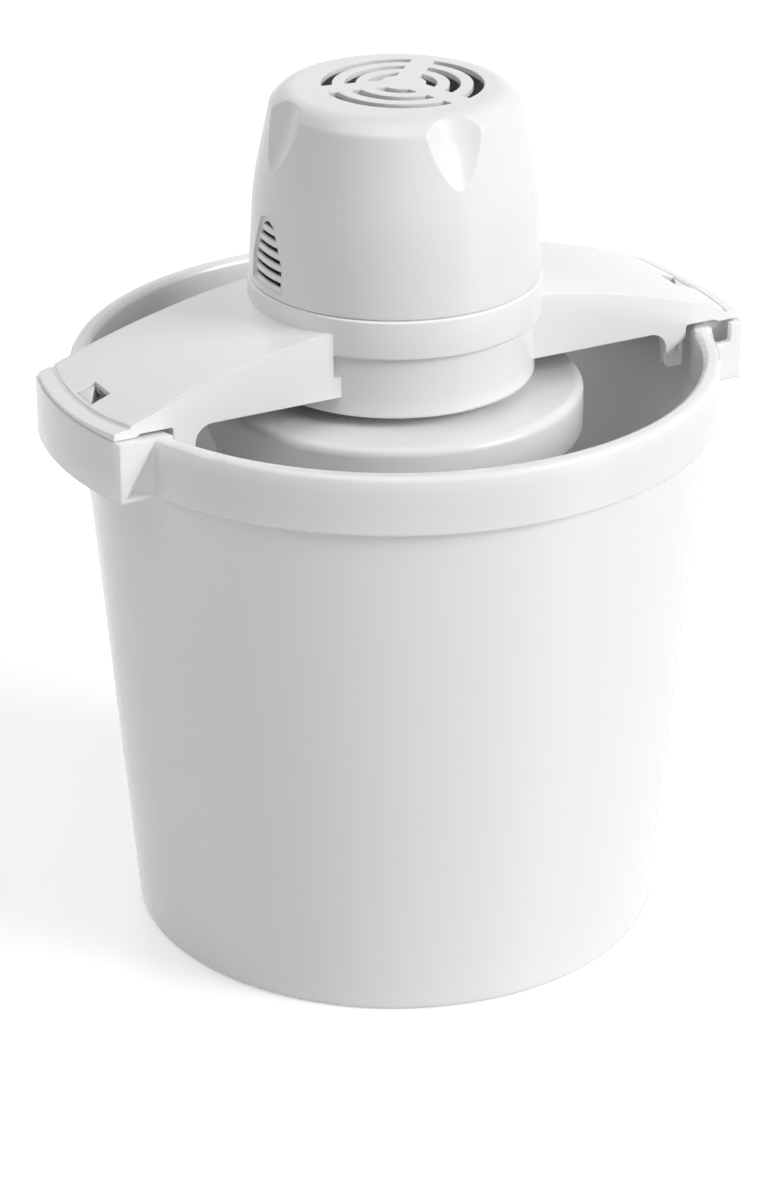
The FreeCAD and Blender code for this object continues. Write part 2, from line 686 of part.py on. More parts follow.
def base_posts():
    """Posts and bosses that stand in the base, and the holes bored in them."""
    low_z = drum_base_z + 1.0
    pin_low_z = drum_base_z + 1.2
    room = cylinder(drum_radius - head_wall / 2, drum_base_z, head_band_base_z)
    half_web = post_web / 2.0
    posts = []
    holes = []
    for degrees in shell_post_angles:
        x, y = on_circle(shell_post_circle, degrees)
        posts.append(cylinder(shell_post_radius, low_z, seam_z, x, y))
        web = block(shell_post_circle, head_band_radius, -half_web, half_web, low_z, head_band_base_z)
        posts.append(turned(web, degrees).common(room))
        holes.append(cylinder(screw_radius + slip_gap, drum_base_z - 1, seam_z + 1, x, y))
        holes.append(cylinder(screw_head_radius + seat_gap, drum_base_z - 1, seam_z - shell_screw_seat, x, y))
    for degrees in plate_post_angles:
        x, y = on_circle(plate_post_circle, degrees)
        posts.append(cylinder(plate_post_radius, low_z, gear_plate_z, x, y))
        holes.append(cylinder(screw_radius, gear_plate_z - plate_screw_length, gear_plate_z + 1, x, y))
    for x, y in (first_axis, second_axis):
        posts.append(cylinder(pin_radius + pin_boss_wall, low_z, drum_floor_z + 1.0, x, y))
        holes.append(cylinder(pin_radius, pin_low_z, drum_floor_z + 2.0, x, y))
    holes.append(cylinder(socket_hub_radius + running_gap + bush_wall, drum_base_z - 1, drum_floor_z + 1))
    return posts, holes


def motor_base():
    drum = revolved([(0, drum_base_z), (drum_radius, drum_base_z, drum_edge_rounding),
                     (drum_radius, head_band_base_z), (head_band_radius, head_band_base_z, 0.8),
                     (head_band_radius, seam_z - seam_bevel), (head_band_radius - seam_bevel, seam_z),
                     (0, seam_z)])
    one_arm = arm()
    hole_start = vector(0, head_band_radius - head_wall - gland_inside, gland_z)
    gland_hole = Part.makeCylinder(gland_radius, gland_length, hole_start, vector(0, 1, 0))
    body = drum.fuse([one_arm, turned(one_arm, 180.0)]).cut([base_inside(), gland_hole])
    posts, holes = base_posts()
    return fused([body, seam_spigot()] + posts).cut(Part.makeCompound(holes))


def cord_gland():
    """Strain relief pressed into the back of the band, empty."""
    wall_in = head_band_radius - head_wall
    wall_out = head_band_radius + 0.1
    barb = gland_radius + gland_barb
    collar = gland_radius + gland_collar
    end = head_band_radius + gland_length
    gland = revolved([(gland_bore, wall_in - gland_inside), (barb, wall_in - gland_inside, 0.6),
                      (barb, wall_in - 0.6), (gland_radius, wall_in - 0.6), (gland_radius, wall_out),
                      (collar, wall_out), (collar, wall_out + 2.1, 0.8), (gland_radius, wall_out + 2.5, 0.5),
                      (gland_bore + 0.9, end, 0.4), (gland_bore, end)])
    gland.rotate(vector(0, 0, 0), vector(1, 0, 0), -90)
    gland.translate(vector(0, 0, gland_z))
    return gland


# ---- shell over the motor ----
def inset(points, distance):
    """Profile of (radius, height, rounding) points, from the seam to the axis, moved inwards."""
    lines = []
    for (r0, z0, _), (r1, z1, _) in zip(points, points[1:]):
        length = math.hypot(r1 - r0, z1 - z0)
        along = ((r1 - r0) / length, (z1 - z0) / length)
        lines.append(((r0 - distance * along[1], z0 + distance * along[0]), along))
    seam = ((0.0, points[0][1]), (1.0, 0.0))
    axis = ((0.0, 0.0), (0.0, 1.0))
    moved = []
    for (a, da), (b, db), point in zip([seam] + lines, lines + [axis], points):
        cross = da[0] * db[1] - da[1] * db[0]
        reach = ((b[0] - a[0]) * db[1] - (b[1] - a[1]) * db[0]) / cross
        moved.append((a[0] + reach * da[0], a[1] + reach * da[1], max(0.0, point[2] - distance)))
    return moved


def shell_solid(offset):
    """Outer form of the shell, moved inwards by offset."""
    edge = (shell_foot_radius - shell_edge_inset, seam_z + shell_edge_height, shell_edge_rounding)
    top = (shell_foot_radius - shell_top_inset, shell_top_z, shell_top_rounding)
    outline = [(shell_foot_radius, seam_z, 0.0), (shell_waist_radius, shell_waist_z, shell_waist_rounding),
               edge, top, (0.0, shell_crown_z, 0.0)]
    if offset > 0.0:
        outline = inset(outline, offset)
    return revolved([(0, seam_z)] + outline)


def flute_cutter(growth, degrees):
    """Barrel beside the shell whose near side is the floor of a flute; growth makes it fatter."""
    foot = shell_foot_radius
    axis_radius = foot + flute_axis_offset
    slope = (flute_belly_inset - flute_tip_inset) / (flute_belly_height - flute_tip_height)
    low_height = flute_tip_height - 2.0 * flute_tip_inset
    low_inset = flute_tip_inset - slope * (flute_tip_height - low_height)
    high_height = shell_crown_height + shell_wall
    floor = [(low_inset, low_height, 0.0), (flute_belly_inset, flute_belly_height, flute_belly_rounding),
             (flute_brow_inset, flute_brow_height, 0.0), (flute_brow_inset, high_height, 0.0)]
    side = [(flute_axis_offset + inward + growth, seam_z + height, rounding)
            for inward, height, rounding in floor]
    barrel = revolved([(0, seam_z + high_height), (0, seam_z + low_height)] + side)
    barrel.translate(vector(axis_radius, 0, 0))
    return turned(barrel, degrees)


def louvre_outline(margin):
    half = louvre_half_width - margin
    low = louvre_base_z + margin
    shoulder = louvre_base_z + louvre_straight
    top = louvre_top_z - margin
    tip = half * louvre_tip_share
    tip_z = top - louvre_tip_drop
    return [(-half, low, 1.0), (half, low, 1.0), (half, shoulder, louvre_shoulder_rounding),
            (tip, tip_z, 5.0), (0, top, 3.0), (-tip, tip_z, 5.0),
            (-half, shoulder, louvre_shoulder_rounding)]


def louvre_prism(margin):
    """Arch-topped prism through the shell's -X side."""
    wire = rounded_wire(louvre_outline(margin), lambda y, z: vector(-shell_foot_radius - 5, y, z))
    return Part.Face(wire).extrude(vector(30, 0, 0))


def louvre_cutters():
    recess = louvre_prism(0.0).cut(shell_solid(louvre_recess))
    opening = louvre_prism(louvre_margin)
    slots = []
    for index in range(louvre_slots):
        low = louvre_base_z + louvre_margin + 0.4 + index * louvre_pitch
        slot = block(-shell_foot_radius - 5, -shell_foot_radius + 20, -louvre_half_width, louvre_half_width,
                     low, low + louvre_slot_height)
        slots.append(slot.common(opening))
    return [recess] + slots


def vent_cutters():
    low = shell_top_z - 5.0 * shell_wall
    high = shell_crown_z + 5.0
    outermost = vent_rings[-1][1] + 2.0
    spokes = []
    for index in range(vent_spokes):
        spoke = block(0, outermost, -vent_spoke_width / 2, vent_spoke_width / 2, low, high)
        spokes.append(turned(spoke, vent_spoke_angle + 360.0 * index / vent_spokes))
    spokes = fused(spokes)
    slots = [ring(outer, inner, low, high).cut(spokes) for inner, outer in vent_rings]
    for slot in slots:
        slot.translate(vector(vent_offset, 0, 0))
    return slots


def motor_shell():
    outside = shell_solid(0.0)
    inside = shell_solid(shell_wall)
    for degrees in (0.0, 90.0, 180.0, 270.0):
        outside = outside.cut(flute_cutter(0.0, degrees))
        inside = inside.cut(flute_cutter(shell_wall, degrees))
    bevel = revolved([(shell_foot_radius - seam_bevel, seam_z), (shell_foot_radius + 1, seam_z),
                      (shell_foot_radius + 1, seam_z + seam_bevel + 0.8)])
    shell = outside.cut(inside).cut(bevel)
    half_web = post_web / 2.0
    web_low_z = seam_z + spigot_height + 1
    posts = []
    holes = []
    for degrees in shell_post_angles:
        x, y = on_circle(shell_post_circle, degrees)
        posts.append(cylinder(shell_post_radius, seam_z, shell_post_top_z, x, y))
        web = block(shell_post_circle, shell_foot_radius, -half_web, half_web, web_low_z, shell_post_top_z)
        posts.append(turned(web, degrees).common(shell_solid(shell_wall / 2)))
        holes.append(cylinder(screw_radius, seam_z - 1, seam_z + shell_screw_hole, x, y))
    louvres = louvre_cutters()
    cutters = louvres + [turned(cutter, 180.0) for cutter in louvres] + vent_cutters() + holes
    return fused([shell] + posts).cut(Part.makeCompound(cutters))


# ---- gears, pins, bush and sockets ----
def first_gear():
    towards_motor = gap_direction(first_gear_teeth, first_gear_angle + 180.0)
    wheel = gear(first_module, first_gear_teeth, first_gear_z, first_gear_z + wheel_width,
                 first_axis, towards_motor)
    pinion = gear(second_module, second_pinion_teeth, second_gear_z, first_gear_z, first_axis,
                  second_direction)
    bore = cylinder(pin_radius + running_gap, second_gear_z - 1, first_gear_z + wheel_width + 1, *first_axis)
    return fused([wheel, pinion]).cut(bore)


def second_gear():
    towards_first = gap_direction(second_gear_teeth, second_direction + 180.0)
    wheel = gear(second_module, second_gear_teeth, second_gear_z, second_gear_z + wheel_width,
                 second_axis, towards_first)
    pinion = gear(output_module, output_pinion_teeth, gear_base_z, second_gear_z, second_axis,
                  output_direction)
    bore = cylinder(pin_radius + running_gap, gear_base_z - 1, second_gear_z + wheel_width + 1, *second_axis)
    return fused([wheel, pinion]).cut(bore)


def drive_socket():
    wheel = gear(output_module, output_gear_teeth, gear_base_z, gear_top_z, (0.0, 0.0),
                 gap_direction(output_gear_teeth, output_direction + 180.0))
    hub = cylinder(socket_hub_radius, drum_base_z + 0.4, gear_base_z + 1.0)
    collar = cylinder(stem_socket_radius + 1.6, gear_top_z - 0.5, gear_top_z + 0.9)
    socket = hexagon(boss_across_flats + 2 * seat_gap, drum_base_z - 1, boss_top_z + seat_gap)
    bore = cylinder(stem_socket_radius + running_gap, boss_top_z, gear_top_z + 2)
    return fused([wheel, hub, collar]).cut(socket).cut(bore)


def output_bush():
    inner = socket_hub_radius + running_gap
    outer = inner + bush_wall
    return revolved([(inner, drum_base_z + 0.3), (outer, drum_base_z + 0.3), (outer, drum_floor_z),
                     (bush_flange_radius, drum_floor_z),
                     (bush_flange_radius, drum_floor_z + bush_flange, 0.3),
                     (inner, drum_floor_z + bush_flange)])


def stem_socket():
    flange_z = gear_plate_z - 1.8
    low_z = boss_top_z + 1.0
    body = revolved([(0, low_z), (stem_socket_radius, low_z, 0.6), (stem_socket_radius, flange_z),
                     (stem_socket_flange_radius, flange_z), (stem_socket_flange_radius, gear_plate_z),
                     (0, gear_plate_z)])
    return body.cut(square(stem_square + 2 * seat_gap, boss_top_z, stem_top_z + seat_gap, 1.0))


def gear_pins():
    first = cylinder(pin_radius, drum_base_z + 1.2, stack_base_z - bracket_drop + 0.2, *first_axis)
    second = cylinder(pin_radius, drum_base_z + 1.2, gear_plate_z + gear_plate_thickness + 0.8, *second_axis)
    return [first, second]


def gear_plate():
    top = gear_plate_z + gear_plate_thickness
    plate = cylinder(gear_plate_radius, gear_plate_z, top)
    holes = [cylinder(second_module * (second_pinion_teeth / 2.0 + 2.2), gear_plate_z, top, *first_axis),
             cylinder(pin_radius, gear_plate_z, top, *second_axis)]
    for degrees in shell_post_angles:
        x, y = on_circle(shell_post_circle, degrees)
        holes.append(cylinder(shell_post_radius + 0.7, gear_plate_z, top, x, y))
    for degrees in plate_post_angles:
        x, y = on_circle(plate_post_circle, degrees)
        holes.append(cylinder(screw_radius + slip_gap, gear_plate_z, top, x, y))
    for side in (-1, 1):
        holes.append(cylinder(screw_radius, gear_plate_z, top, 0, side * motor_screw_spread))
    return plate.cut(Part.makeCompound(holes))


def screw(x, y, tip_z, head_z, head_up=True):
    """Pan-head screw; head_z is the seat of the head."""
    low, high = min(tip_z, head_z), max(tip_z, head_z)
    shank = cylinder(screw_radius - 0.02, low, high, x, y)
    head_low = head_z if head_up else head_z - screw_head_height
    head = cylinder(screw_head_radius, head_low, head_low + screw_head_height, x, y)
    return fused([shank, head])


def gear_plate_screws():
    seat = gear_plate_z + gear_plate_thickness
    tip_z = seat - plate_screw_length
    return [screw(*on_circle(plate_post_circle, degrees), tip_z, seat) for degrees in plate_post_angles]


def shell_screws():
    seat = seam_z - shell_screw_seat
    tip_z = seat + shell_screw_length
    return [screw(*on_circle(shell_post_circle, degrees), tip_z, seat, head_up=False)
            for degrees in shell_post_angles]


# ---- motor ----
def bracket(foot_z, direction):
    """Hat-shaped strap along Y: feet on the stack, web bulged away from it to carry the bearing."""
    half = bracket_width / 2.0
    sheet = bracket_sheet
    web_z = foot_z + direction * bracket_drop
    spread = motor_screw_spread
    under = [(-spread - 5, foot_z), (-spread + 6, foot_z, 2.0), (-spread + 10, web_z, 2.0),
             (spread - 10, web_z, 2.0), (spread - 6, foot_z, 2.0), (spread + 5, foot_z)]
    over = [(y, z + direction * sheet, r[0] if r else 0.0) for y, z, *r in reversed(under)]
    wire = rounded_wire(under + over, lambda y, z: vector(-half, y, z))
    strap = Part.Face(wire).extrude(vector(bracket_width, 0, 0))
    low, high = min(foot_z, web_z) - 5, max(foot_z, web_z) + 5
    holes = [cylinder(screw_radius + slip_gap, low, high, 0, side * spread) for side in (-1, 1)]
    holes.append(cylinder(bearing_radius - 1.0, low, high))
    return strap, holes


def lower_bracket():
    strap, holes = bracket(stack_base_z, -1)
    web_z = stack_base_z - bracket_drop
    end_x = first_axis[0] - tongue_half
    tongue = prism([(0, -tongue_half), (end_x, -tongue_half, 4.0), (end_x, tongue_half, 4.0),
                    (0, tongue_half)],
                   web_z - bracket_sheet, web_z)
    holes.append(cylinder(pin_radius, web_z - 5, web_z + 5, *first_axis))
    return fused([strap, tongue]).cut(Part.makeCompound(holes))


def upper_bracket():
    strap, holes = bracket(stack_top_z, 1)
    return strap.cut(Part.makeCompound(holes))


def bearing(web_inner_z, direction):
    """Sintered bush with a collar that sits in the bracket's web."""
    inner = motor_shaft_radius + running_gap
    collar_face = web_inner_z
    neck_face = web_inner_z + direction * bracket_sheet
    back_face = web_inner_z - direction * (bearing_height - bracket_sheet)
    collar = ring(bearing_radius, inner, min(collar_face, back_face), max(collar_face, back_face))
    neck = ring(bearing_radius - 1.0 - 0.02, inner, min(collar_face, neck_face), max(collar_face, neck_face))
    return fused([collar, neck])


def stator_core():
    low, high = stack_base_z, stack_top_z
    half = stack_half_width
    bore_radius = rotor_radius + rotor_air_gap
    body = prism([(-stack_back, -half, 4.0), (stack_front, -half, 2.0), (stack_front, half, 2.0),
                  (-stack_back, half, 4.0)], low, high)
    window = block(bore_radius + pole_wall, stack_front - core_leg, -half + core_leg, half - core_leg,
                   low, high)
    cuts = [window, cylinder(bore_radius, low, high)]
    for side in (-1, 1):
        cuts.append(cylinder(screw_radius + slip_gap, low, high, 0, side * motor_screw_spread))
        slot_y = side * (rotor_radius + 0.2)
        cuts.append(block(-1.0, 1.0, slot_y - pole_slot, slot_y + pole_slot, low, high))
    return body.cut(cuts)


def coil_span():
    """Half length, back and front of the winding along Y and X, and its rise above the stack."""
    return coil_half_length, stack_front - core_leg - coil_build, stack_front + coil_build, coil_build


def coil_bobbin():
    length, back, front, rise = coil_span()
    x0, x1 = stack_front - core_leg - bobbin_wall, stack_front + bobbin_wall
    z0, z1 = stack_base_z - bobbin_wall, stack_top_z + bobbin_wall
    tube = block(x0, x1, -length, length, z0, z1)
    low, high = stack_base_z - rise + 0.5, stack_top_z + rise - 0.5
    flanges = [block(back + 0.5, front - 0.5, y, y + bobbin_wall, low, high)
               for y in (-length, length - bobbin_wall)]
    core = block(stack_front - core_leg, stack_front, -length, length, stack_base_z, stack_top_z)
    return fused([tube] + flanges).cut(core)


def field_coil():
    length, back, front, rise = coil_span()
    wound = length - bobbin_wall
    corners = ((back + 1.5, stack_base_z - rise + 1.5), (front - 1.5, stack_base_z - rise + 1.5),
               (front - 1.5, stack_top_z + rise - 1.5), (back + 1.5, stack_top_z + rise - 1.5))
    winding = slab([(x, z, 5.0) for x, z in corners], -wound, wound)
    return winding.cut(block(stack_front - core_leg - bobbin_wall, stack_front + bobbin_wall, -wound, wound,
                             stack_base_z - bobbin_wall, stack_top_z + bobbin_wall))


def motor_spacers():
    low = gear_plate_z + gear_plate_thickness
    high = stack_base_z - bracket_sheet
    return [ring(3.6, screw_radius + slip_gap, low, high, 0, side * motor_screw_spread) for side in (-1, 1)]


def motor_screws():
    seat = stack_top_z + bracket_sheet
    return [screw(0, side * motor_screw_spread, gear_plate_z, seat) for side in (-1, 1)]


def rotor_core():
    core = ring(rotor_radius, motor_shaft_radius, stack_base_z, stack_top_z)
    end_rings = [ring(rotor_radius - 1.5, rotor_radius - 5.5, z, z + 2.0)
                 for z in (stack_base_z - 2.0, stack_top_z)]
    return fused([core] + end_rings)


def motor_shaft():
    return cylinder(motor_shaft_radius, motor_pinion_base_z, motor_shaft_top_z)


def motor_pinion():
    top = motor_pinion_base_z + wheel_width + 1.0
    pinion = gear(first_module, first_pinion_teeth, motor_pinion_base_z, top, (0.0, 0.0), first_gear_angle)
    return pinion.cut(cylinder(motor_shaft_radius, motor_pinion_base_z, top))


def cooling_fan():
    top_z = fan_base_z + fan_height
    low_z = fan_base_z + 0.5
    hub = ring(fan_hub_radius, motor_shaft_radius, fan_base_z, top_z)
    disc = ring(fan_radius, motor_shaft_radius, fan_base_z, fan_base_z + fan_disc)
    blade = prism([(9.0, -1.0), (20.0, -4.6), (fan_radius - 0.4, -2.0), (fan_radius - 0.6, -0.4),
                   (20.0, -3.0), (9.0, 0.6)], low_z, top_z)
    root = prism([(5.0, -0.8), (10.0, -1.2), (10.0, 0.6), (5.0, 0.8)], low_z, top_z)
    blades = []
    for index in range(fan_blades):
        blades += [turned(blade, 360.0 * index / fan_blades), turned(root, 360.0 * index / fan_blades)]
    return fused([hub, disc] + blades)


# ---- write every piece ----
nodes = {
    "bucket": bucket(),
    "canister": canister(),
    "canister_lid": canister_lid(),
    "dasher": dasher(),
    "scraper_blades": scraper_blades(),
    "motor_base": motor_base(),
    "motor_shell": motor_shell(),
    "cord_gland": cord_gland(),
    "drive_socket": drive_socket(),
    "output_bush": output_bush(),
    "stem_socket": stem_socket(),
    "second_gear": second_gear(),
    "first_gear": first_gear(),
    "gear_pins": gear_pins(),
    "gear_plate": gear_plate(),
    "gear_plate_screws": gear_plate_screws(),
    "motor_spacers": motor_spacers(),
    "motor_screws": motor_screws(),
    "stator_core": stator_core(),
    "coil_bobbin": coil_bobbin(),
    "field_coil": field_coil(),
    "lower_bracket": lower_bracket(),
    "upper_bracket": upper_bracket(),
    "lower_bearing": bearing(stack_base_z - bracket_drop, -1),
    "upper_bearing": bearing(stack_top_z + bracket_drop, 1),
    "rotor_core": rotor_core(),
    "motor_shaft": motor_shaft(),
    "motor_pinion": motor_pinion(),
    "cooling_fan": cooling_fan(),
    "shell_screws": shell_screws(),
}

os.makedirs("parts", exist_ok=True)
for name, piece in nodes.items():
    shape = Part.makeCompound(piece) if isinstance(piece, list) else piece
    print(name, len(shape.Solids), shape.isValid(), round(shape.Volume / 1000.0, 2))
    shape.exportStep("parts/" + name + ".step")
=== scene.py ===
import bmesh
import bpy
import json
import math
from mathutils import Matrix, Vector


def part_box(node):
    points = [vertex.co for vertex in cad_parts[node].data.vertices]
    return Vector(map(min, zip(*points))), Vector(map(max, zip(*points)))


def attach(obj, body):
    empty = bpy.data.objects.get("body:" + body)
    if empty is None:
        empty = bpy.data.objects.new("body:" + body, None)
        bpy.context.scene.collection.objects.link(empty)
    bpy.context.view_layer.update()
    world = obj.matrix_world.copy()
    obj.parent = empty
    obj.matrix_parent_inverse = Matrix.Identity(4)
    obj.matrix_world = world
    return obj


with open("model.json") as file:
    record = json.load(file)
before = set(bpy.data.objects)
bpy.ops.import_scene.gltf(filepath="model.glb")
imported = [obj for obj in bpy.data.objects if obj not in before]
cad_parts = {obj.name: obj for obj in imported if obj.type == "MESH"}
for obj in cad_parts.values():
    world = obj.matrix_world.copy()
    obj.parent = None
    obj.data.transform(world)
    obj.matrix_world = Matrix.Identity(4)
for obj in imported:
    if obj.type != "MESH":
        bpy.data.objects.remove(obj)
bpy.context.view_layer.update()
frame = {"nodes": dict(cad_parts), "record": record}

# ---- camera: from the front left and above, at the photograph's angle; metres and millimetres of lens ----
CAMERA_PLACE = Vector((-0.6876, -1.2932, 0.8357))
CAMERA_AIM = Vector((0.0, 0.0, 0.1409))
LENS = 109.3
SHIFT_X = -0.0067

# ---- lamps: name, where it shines from, strength, softness in degrees, whether gloss shows it ----
LAMPS = (
    ("key", (1.32, -1.57, 1.22), 2.05, 26.0, True),
    ("top", (-0.8, -0.4, 2.1), 0.78, 50.0, True),
    ("back", (0.40, 1.89, 0.75), 0.6, 40.0, False),
)

# ---- surroundings: white for camera and gloss, but gloss also shows one dim side ----
AMBIENT = 0.27                      # strength of the surroundings as a light, and the least that gloss shows
DIM_STRENGTH = 0.25
DIM_SIDE = (-0.99, -0.03, 0.12)
DIM_START = 0.42                    # cosine of the angle to DIM_SIDE where the dimming starts
DIM_FULL = 0.66                     # and where it is full
FLOOR_HALF = 9.0
FLOOR_COLOUR = (0.70, 0.70, 0.70)
FLOOR_GLOW = 0.42                   # what camera and gloss see added to the floor
FLOOR_ROUGHNESS = 0.34
FLOOR_FLOW = 0.04
FLOOR_PATCHES = 14.0

# ---- colours ----
WHITE = (0.86, 0.86, 0.863)
PAIL_WHITE = (0.91, 0.91, 0.91)
# painted light: the housing's white is paler than the shell's, standing in for bounce light that its drum,
# low in the pail, misses
HOUSING_PAINTED_LIGHT_WHITE = (0.945, 0.945, 0.945)
WARM_WHITE = (0.86, 0.857, 0.85)
PALE_GREY = (0.74, 0.74, 0.74)
COOL_GREY = (0.70, 0.71, 0.70)
BUSH_GREY = (0.62, 0.62, 0.57)
NYLON = (0.72, 0.69, 0.60)
BLACK = (0.07, 0.07, 0.08)
FAN_BLACK = (0.10, 0.10, 0.11)
ALUMINIUM = (0.78, 0.78, 0.79)
STEEL = (0.62, 0.62, 0.63)
BRONZE = (0.62, 0.42, 0.20)
CORE_STEEL = (0.50, 0.50, 0.52)
# the groove colours here are painted shade for the grooves between ribs in the banded materials
CORE_GROOVE_SHADE = (0.16, 0.16, 0.17)
SHEET_STEEL = (0.30, 0.31, 0.34)
SHEET_GROOVE_SHADE = (0.09, 0.09, 0.11)
COPPER = (0.62, 0.27, 0.11)
COPPER_GROOVE_SHADE = (0.16, 0.05, 0.02)

# ---- textures: a scale is in features per metre, a height in metres ----
DRIFT_SCALE = 4.0
DRIFT_SHADE = 0.98                  # darkest share of a moulding's colour
GLOSS_SCALE = 420.0
PEEL_SCALE = 230.0
PEEL_HEIGHT = 0.000006
PEEL_STRENGTH = 0.5
SKIN_SCALE = 1600.0
SKIN_STRENGTH = 0.6
COAT_ROUGHNESS = 0.08
DEPTH_SCALE = 0.006
DEPTH_RADIUS = (1.0, 1.0, 0.9)
BEVEL_SAMPLES = 6
LINE_SCALE = 400.0
LINE_HEIGHT = 0.00001
LINE_STRENGTH = 0.7
LINE_GLOSS = (-0.08, 0.12)          # added to the roughness in a line and beside it
CLOUD_SCALE = 22.0
WAVE_PERIOD = 0.314                 # of the wave texture at scale 1
WAVE_DISTORTION = 0.02
GROOVE_SHADE_SHARE = (0.05, 0.55)         # heights of a rib between which it goes from the painted shade of a groove to full colour
RIB_STRENGTH = 0.8
RIB_GLOSS = (-0.06, 0.12)
RIB_GLOSS_SCALE = 90.0

# ---- catch ramps: metres from the bucket's farthest face, a lug's, and from its highest, a catch's top ----
RAMP_INSET = 0.0097
RAMP_LENGTH = 0.0082
RAMP_HALF = 0.0072
RAMP_SINK = 0.00005
RAMP_LOW = 0.00095
RAMP_HIGH = 0.00325
RAMP_ROUNDING = 0.0003
RAMP_STEPS = 3


# ---- objects ----
def linked(name, data):
    """New object in the scene that shows data."""
    made = bpy.data.objects.new(name, data)
    bpy.context.scene.collection.objects.link(made)
    return made


def aimed(piece, place):
    """Puts a lamp or the camera at a place, turned to the point that the camera looks at."""
    piece.location = place
    piece.rotation_euler = (CAMERA_AIM - Vector(place)).to_track_quat("-Z", "Y").to_euler()


# ---- node helpers ----
def add(tree, kind, links=(), **settings):
    """New shader node; settings are node attributes or, for the rest, input values."""
    made = tree.nodes.new(kind)
    for key, value in settings.items():
        if hasattr(made, key):
            setattr(made, key, value)
        else:
            made.inputs[key.replace("_", " ")].default_value = value
    for source, target in links:
        tree.links.new(source, made.inputs[target])
    return made


def surface(name, colour, roughness, metallic=0.0):
    """Material with object coordinates and a Principled shader ready to be wired."""
    material = bpy.data.materials.new(name)
    material.use_nodes = True
    tree = material.node_tree
    shader = tree.nodes["Principled BSDF"]
    shader.inputs["Base Color"].default_value = (*colour, 1.0)
    shader.inputs["Roughness"].default_value = roughness
    shader.inputs["Metallic"].default_value = metallic
    place = add(tree, "ShaderNodeTexCoord").outputs["Object"]
    return material, tree, shader, place


def noise(tree, place, scale, detail, stretch=(1.0, 1.0, 1.0)):
    """Noise of scale features per metre, and stretch times as many along each axis."""
    spread = add(tree, "ShaderNodeMapping", [(place, "Vector")], Scale=stretch)
    made = add(tree, "ShaderNodeTexNoise", [(spread.outputs["Vector"], "Vector")], Scale=scale, Detail=detail)
    return made.outputs["Fac"]


def ranged(tree, value, low, high, start=0.25, stop=0.75):
    """value from start..stop spread softly over low..high."""
    made = add(tree, "ShaderNodeMapRange", [(value, "Value")], interpolation_type="SMOOTHSTEP")
    for key, number in (("From Min", start), ("From Max", stop), ("To Min", low), ("To Max", high)):
        made.inputs[key].default_value = number
    return made.outputs["Result"]


def combined(tree, operation, first, second):
    """Math node on two outputs."""
    return add(tree, "ShaderNodeMath", [(first, 0), (second, 1)], operation=operation).outputs["Value"]


def tinted(tree, value, colour, other):
    """Colour that goes from colour to other as value goes from 0 to 1."""
    mix = add(tree, "ShaderNodeMix", data_type="RGBA")
    mix.inputs[6].default_value = (*colour, 1.0)
    mix.inputs[7].default_value = (*other, 1.0)
    tree.links.new(value, mix.inputs[0])
    return mix.outputs[2]


def shaded(tree, value, colour, share):
    """Colour that goes to a share of itself as value goes from 0 to 1."""
    return tinted(tree, value, colour, tuple(channel * share for channel in colour))


def bumped(tree, shader, heights, edge=0.0):
    """Chain of bumps; heights is a list of (value, height in metres, strength); edge softens corners."""
    normal = None
    if edge > 0.0:
        normal = add(tree, "ShaderNodeBevel", samples=BEVEL_SAMPLES, Radius=edge).outputs["Normal"]
    for value, distance, strength in heights:
        bump = add(tree, "ShaderNodeBump", [(value, "Height")], Distance=distance, Strength=strength)
        if normal:
            tree.links.new(normal, bump.inputs["Normal"])
        normal = bump.outputs["Normal"]
    tree.links.new(normal, shader.inputs["Normal"])


# ---- kinds of material ----
def moulded(name, colour, roughness, grain=0.00001, flow=0.012, coat=0.0, depth=0.0, edge=0.0):
    """Moulded plastic: faint shade drift, uneven gloss, a slight orange peel and a skin of height grain."""
    material, tree, shader, place = surface(name, colour, roughness)
    drift = ranged(tree, noise(tree, place, DRIFT_SCALE, 0.0), 0.0, 1.0, 0.0, 1.0)
    tree.links.new(shaded(tree, drift, colour, DRIFT_SHADE), shader.inputs["Base Color"])
    gloss = ranged(tree, noise(tree, place, GLOSS_SCALE, 2.0), roughness - flow, roughness + flow)
    tree.links.new(gloss, shader.inputs["Roughness"])
    peel = noise(tree, place, PEEL_SCALE, 0.0)
    skin = noise(tree, place, SKIN_SCALE, 2.0)
    bumped(tree, shader, [(peel, PEEL_HEIGHT, PEEL_STRENGTH), (skin, grain, SKIN_STRENGTH)], edge)
    shader.inputs["Coat Weight"].default_value = coat
    shader.inputs["Coat Roughness"].default_value = COAT_ROUGHNESS
    shader.inputs["Subsurface Weight"].default_value = depth
    shader.inputs["Subsurface Radius"].default_value = DEPTH_RADIUS
    shader.inputs["Subsurface Scale"].default_value = DEPTH_SCALE
    return material


def metal(name, colour, roughness, stretch, stain=0.86):
    """Metal with fine lines along the axes where stretch is small, clouded down to stain times its colour."""
    material, tree, shader, place = surface(name, colour, roughness, 1.0)
    lines = noise(tree, place, LINE_SCALE, 3.0, stretch)
    clouds = ranged(tree, noise(tree, place, CLOUD_SCALE, 4.0), 0.0, 1.0)
    tree.links.new(shaded(tree, clouds, colour, stain), shader.inputs["Base Color"])
    gloss = ranged(tree, lines, roughness + LINE_GLOSS[0], roughness + LINE_GLOSS[1])
    tree.links.new(gloss, shader.inputs["Roughness"])
    bumped(tree, shader, [(lines, LINE_HEIGHT, LINE_STRENGTH)])
    return material


